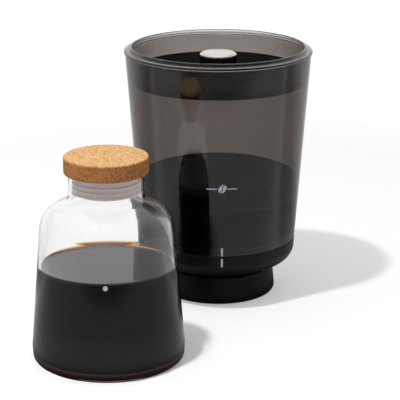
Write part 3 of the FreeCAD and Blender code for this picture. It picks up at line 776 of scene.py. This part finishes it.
def make_stopper_sleeve():
    """A hollow plug with soft ribs, and a flange that lies under the cork."""
    corners = [(0.0, PLUG_LOW), (PLUG_RADIUS - 1.5, PLUG_LOW, 0.5)]
    for rib in range(RIBS):
        middle = PLUG_LOW + (PLUG_TOP - PLUG_LOW) * (rib + 0.5) / RIBS
        corners += [
            (PLUG_RADIUS, middle - RIB_ROOT, 0.2),
            (RIB_RADIUS, middle - RIB_TIP, 0.3),
            (RIB_RADIUS, middle + RIB_TIP, 0.3),
            (PLUG_RADIUS, middle + RIB_ROOT, 0.2),
        ]
    corners += [
        (PLUG_RADIUS, PLUG_TOP, 0.3),
        (PLUG_FLANGE_RADIUS, PLUG_TOP, 0.3),
        (PLUG_FLANGE_RADIUS, PLUG_FLANGE_TOP),
        (PLUG_HOLLOW, PLUG_FLANGE_TOP),
        (PLUG_HOLLOW, PLUG_FLOOR),
        (0.0, PLUG_FLOOR),
    ]
    sleeve = revolve("stopper_ribs", rounded(corners, 5), CARAFE)
    dress(sleeve, plug, "stopper", "plug_silicone", "stopper_sleeve")


make_cork_disc()
make_stopper_sleeve()


# Filter screen: a woven cloth of fine wires

def make_screen():
    """Crossed wires, cut to a ring round the middle of the filter."""
    wire = 0.22
    pitch = 2.2
    outer = 54.6
    inner = 7.3
    height = 40.95
    weave = 0.1
    vertices = []
    faces = []

    def strand(start, end, level):
        along = (end - start).normalized()
        side = Vector((-along.y, along.x)) * wire
        base = len(vertices)
        for place in (start, end):
            for across, up in ((-1, -0.6), (1, -0.6), (1, 0.6), (-1, 0.6)):
                spot = place + side * across
                vertices.append((spot.x * MM, spot.y * MM, (level + wire * up) * MM))
        for corner in range(4):
            follower = (corner + 1) % 4
            faces.append((base + corner, base + follower, base + 4 + follower, base + 4 + corner))

    count = int(outer / pitch)
    for step in range(-count, count + 1):
        across = step * pitch
        reach = math.sqrt(outer * outer - across * across)
        gap = math.sqrt(inner * inner - across * across) if abs(across) < inner else 0.0
        spans = [(-reach, -gap), (gap, reach)] if gap else [(-reach, reach)]
        for low, high in spans:
            strand(Vector((low, across)), Vector((high, across)), height - weave)
            strand(Vector((across, low)), Vector((across, high)), height + weave)
    screen = new_piece("woven_screen", vertices, faces)
    dress(screen, spring_steel, "filter", "mesh_steel", "filter_mesh")


def make_valve_spring():
    """The valve spring, which closes up as the valve is pressed, copied from its CAD node with a mesh of
    its own.
    """
    coil = node_copy("spring_coil", "valve_spring")
    settle(coil, "base", "spring_steel", "valve_spring")
    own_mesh(coil)


make_screen()
make_valve_spring()


# Printed marks

def decal(name, shapes, turn, height, radius_of, centre, body, slot):
    """Flat outlines laid on a turned wall. Each shape is a list of (across, up) in millimetres."""
    vertices = []
    faces = []
    for shape in shapes:
        base = len(vertices)
        for across, up in shape:
            level = height + up
            radius = radius_of(level) + MARK_LIFT
            angle = turn + across / radius
            x = centre[0] + radius * math.cos(angle)
            y = centre[1] + radius * math.sin(angle)
            vertices.append((x * MM, y * MM, level * MM))
        faces.append(tuple(range(base, base + len(shape))))
    dress(new_piece(name, vertices, faces), mark, body, slot)


def bar(left, right, low, high, columns=1, rows=1):
    """A rectangle in small fields, so that it bends with the wall."""
    fields = []
    for column in range(columns):
        near = left + (right - left) * column / columns
        far = left + (right - left) * (column + 1) / columns
        for row in range(rows):
            foot = low + (high - low) * row / rows
            head = low + (high - low) * (row + 1) / rows
            fields.append([(near, foot), (far, foot), (far, head), (near, head)])
    return fields


def bean(length, width, tilt, split):
    """The two halves of a coffee bean, parted by a curved slit, in narrow fields along its length."""
    def turned(across, up):
        x = across * math.cos(tilt) - up * math.sin(tilt)
        y = across * math.sin(tilt) + up * math.cos(tilt)
        return (x, y)

    fields = []
    for side in (-1, 1):
        outline = []
        slit = []
        for step in range(CURVE_STEPS + 1):
            angle = math.pi * (CURVE_STEPS - step) / CURVE_STEPS
            outline.append(turned(length / 2 * math.cos(angle), side * width / 2 * math.sin(angle)))
            along = length / 2 * (-1 + 2 * step / CURVE_STEPS)
            bow = 0.16 * width * math.sin(math.pi * along / (length / 2))
            edge = width / 2 * math.sqrt(max(0.0, 1 - (2 * along / length) ** 2))
            slit.append(turned(along, max(-edge, min(edge, bow + side * split / 2))))
        for step in range(CURVE_STEPS):
            fields.append([slit[step], slit[step + 1], outline[step + 1], outline[step]])
    return fields


def dot(radius):
    """A round spot in narrow fields about its middle."""
    fields = []
    for step in range(DOT_STEPS):
        edge = []
        for angle in (2 * math.pi * step / DOT_STEPS, 2 * math.pi * (step + 1) / DOT_STEPS):
            edge.append((radius * math.cos(angle), radius * math.sin(angle)))
        fields.append(edge + [(0.0, 0.0)])
    return fields


base_profile = rounded([
    (BASE_FOOT - 1.5 * BASE_ROUND, BASE_LOW),
    (BASE_FOOT, BASE_LOW, BASE_ROUND),
    (BASE_RIM, BASE_TOP),
], CURVE_STEPS)


def base_radius(height):
    return radius_at(base_profile, height)


def carafe_radius(height):
    return radius_at(carafe_profile, height)


fill_line = bar(*LINE_LEFT, -LINE_HALF, LINE_HALF, columns=11)
fill_line += bar(*LINE_RIGHT, -LINE_HALF, LINE_HALF, columns=11)
fill_line += bean(length=8.4, width=5.6, tilt=math.radians(52), split=0.9)
lock_upper = bar(-LOCK_HALF, LOCK_HALF, -LOCK_UPPER_REACH, LOCK_UPPER_REACH, columns=3)
lock_lower = bar(-LOCK_HALF, LOCK_HALF, -LOCK_LOWER_REACH, LOCK_LOWER_REACH, rows=8)
decal("fill_line", fill_line, MARK_TURN, FILL_LINE, vessel_radius, BREWER, "container", "smoky_plastic")
decal("lock_mark_upper", lock_upper, MARK_TURN, LOCK_UPPER, vessel_radius, BREWER,
      "container", "smoky_plastic")
decal("lock_mark_lower", lock_lower, MARK_TURN, LOCK_LOWER, base_radius, BREWER, "base", "black_plastic")
decal("level_dot", dot(DOT_RADIUS), DOT_TURN, DOT_HEIGHT, carafe_radius, CARAFE, "carafe", "clear_glass")


# Floor: white to the eye, with the object's shadow lightened by a painted white glow that is weaker
# ahead of the object, and in reflections a painted brightness with painted contact shade in place of its
# lit surface

def make_floor_material():
    shader = Shader("pale_floor")
    place = shader.place()
    path = shader.add("ShaderNodeLightPath").outputs

    def apart(centre):
        inputs = {0: place, 1: centre}
        return shader.add("ShaderNodeVectorMath", inputs, operation="DISTANCE").outputs["Value"]

    ahead = shader.add("ShaderNodeSeparateXYZ", {0: place}).outputs["Y"]
    seen = shader.calculate("MAXIMUM", path["Is Camera Ray"], path["Is Transmission Ray"])
    outside_glass = shader.calculate("SUBTRACT", 1.0, path["Is Transmission Ray"])
    glossy = shader.calculate("MULTIPLY", path["Is Glossy Ray"], outside_glass)
    far = shader.spread(apart((0, 0, 0)), 0.0, 1.0, SHADOW_EDGE)
    # Painted light: near the objects a share of white glow is mixed into the floor's shadows, less ahead
    # of them.
    near = shader.spread(ahead, FRONT_GLOW_SHARE, FLOOR_GLOW_SHARE, FRONT_EDGE)
    white_share = shader.calculate("MULTIPLY", shader.calculate("MAXIMUM", far, near), seen)
    white_share = shader.calculate("MAXIMUM", white_share, glossy)

    from_brewer = shader.calculate("SUBTRACT", apart((0, 0, 0)), BREWER_TOUCH)
    from_carafe = shader.calculate("SUBTRACT", apart((CARAFE[0] * MM, CARAFE[1] * MM, 0)), CARAFE_TOUCH)
    gap = shader.calculate("MINIMUM", from_brewer, from_carafe)
    # Painted shade: in reflections the floor darkens close to where each object stands.
    contact_shade = shader.spread(gap, CONTACT_SHADE_LEVEL, 1.0, (0.0, CONTACT_SHADE_REACH))
    # Painted reflection: in reflections the floor shows this painted brightness by how far ahead it
    # lies, in place of its lit surface.
    mirrored = shader.ramp(shader.spread(ahead, 0.0, 1.0, PAINTED_REFLECTION_REACH), [
        (0.04, grey(0.16)),
        (0.18, grey(0.47)),
        (0.35, grey(0.48)),
        (0.48, grey(0.50)),
        (0.555, grey(0.68)),
        (0.595, grey(0.34)),
        (0.68, grey(0.28)),
        (0.78, grey(0.46)),
        (1.0, grey(0.70)),
    ])
    dim = shader.calculate("SUBTRACT", 1.0, shader.calculate("MULTIPLY", mirrored, contact_shade))
    dim = shader.calculate("MULTIPLY", dim, glossy)
    bounce_loss = shader.calculate("MULTIPLY", path["Is Diffuse Ray"], FLOOR_BOUNCE_LOSS)
    dim = shader.calculate("MAXIMUM", dim, bounce_loss)

    shader.put(Base_Color=(0.97, 0.97, 0.97), Roughness=1.0, Specular_IOR_Level=0.0)
    lit = shader.surface
    white = shader.add("ShaderNodeEmission", {"Color": (1, 1, 1, 1), "Strength": 1.03})
    dark = shader.add("ShaderNodeBsdfDiffuse", {"Color": (0, 0, 0, 1)})
    for share, other in ((white_share, white), (dim, dark)):
        lit = shader.add("ShaderNodeMixShader", {0: share, 1: lit.outputs[0], 2: other.outputs[0]})
    shader.links.new(lit.outputs[0], shader.output.inputs["Surface"])
    return shader.material


def make_floor():
    half = FLOOR_HALF
    vertices = [(-half, -half, 0), (half, -half, 0), (half, half, 0), (-half, half, 0)]
    floor = new_piece("floor", vertices, [(0, 1, 2, 3)])
    floor.data.materials.append(make_floor_material())


make_floor()


# Light: white surroundings and one lamp high at the front left

def make_world():
    """White to the eye and through glass, dimmer in reflections of what is behind the camera."""
    world = bpy.data.worlds.new("studio")
    bpy.context.scene.world = world
    tree = Tree(world)
    tree.nodes.clear()
    path = tree.add("ShaderNodeLightPath").outputs
    heading = tree.add("ShaderNodeTexCoord").outputs["Generated"]
    split = tree.add("ShaderNodeSeparateXYZ", {0: heading}).outputs
    front = tree.spread(split["Y"], 0.25, 1.0, (-0.4, 1.1), interpolation_type="SMOOTHSTEP")
    above = tree.spread(split["Z"], 0.0, 1.0, (0.3, 0.85), interpolation_type="SMOOTHSTEP")
    seen = tree.calculate("MAXIMUM", path["Is Camera Ray"], path["Is Transmission Ray"])
    glossy = tree.calculate("MULTIPLY", path["Is Glossy Ray"], tree.calculate("SUBTRACT", 1.0, seen))
    mirrored = tree.calculate("MAXIMUM", front, above)
    shown = tree.calculate("ADD", seen, tree.calculate("MULTIPLY", glossy, mirrored))
    other = tree.calculate("SUBTRACT", 1.0, tree.calculate("MAXIMUM", seen, path["Is Glossy Ray"]))
    fill = tree.calculate("ADD", tree.calculate("MULTIPLY", split["Z"], FILL_HIGH - FILL_LOW), FILL_LOW)
    strength = tree.calculate("ADD", shown, tree.calculate("MULTIPLY", other, fill))
    background = tree.add("ShaderNodeBackground", {"Color": (1, 1, 1, 1), "Strength": strength})
    tree.add("ShaderNodeOutputWorld", {"Surface": background.outputs[0]})


def make_key_lamp():
    light = bpy.data.lights.new("key", "AREA")
    light.shape = "DISK"
    light.size = KEY_SIZE
    light.energy = KEY_POWER
    lamp = bpy.data.objects.new("key", light)
    lamp.location = KEY_PLACE
    lamp.rotation_euler = (KEY_TARGET - KEY_PLACE).to_track_quat("-Z", "Y").to_euler()
    bpy.context.scene.collection.objects.link(lamp)


def make_camera():
    """The camera at the photograph's angle."""
    data = bpy.data.cameras.new("camera")
    data.lens = CAMERA_LENS
    data.sensor_width = SENSOR_WIDTH
    data.clip_start = 0.05
    data.clip_end = 60.0
    camera = bpy.data.objects.new("camera", data)
    camera.location = CAMERA_PLACE
    camera.rotation_euler = (math.radians(90 - CAMERA_TILT), 0.0, 0.0)
    bpy.context.scene.collection.objects.link(camera)
    bpy.context.scene.camera = camera


make_world()
make_key_lamp()
make_camera()
bpy.context.scene.view_settings.view_transform = "Standard"
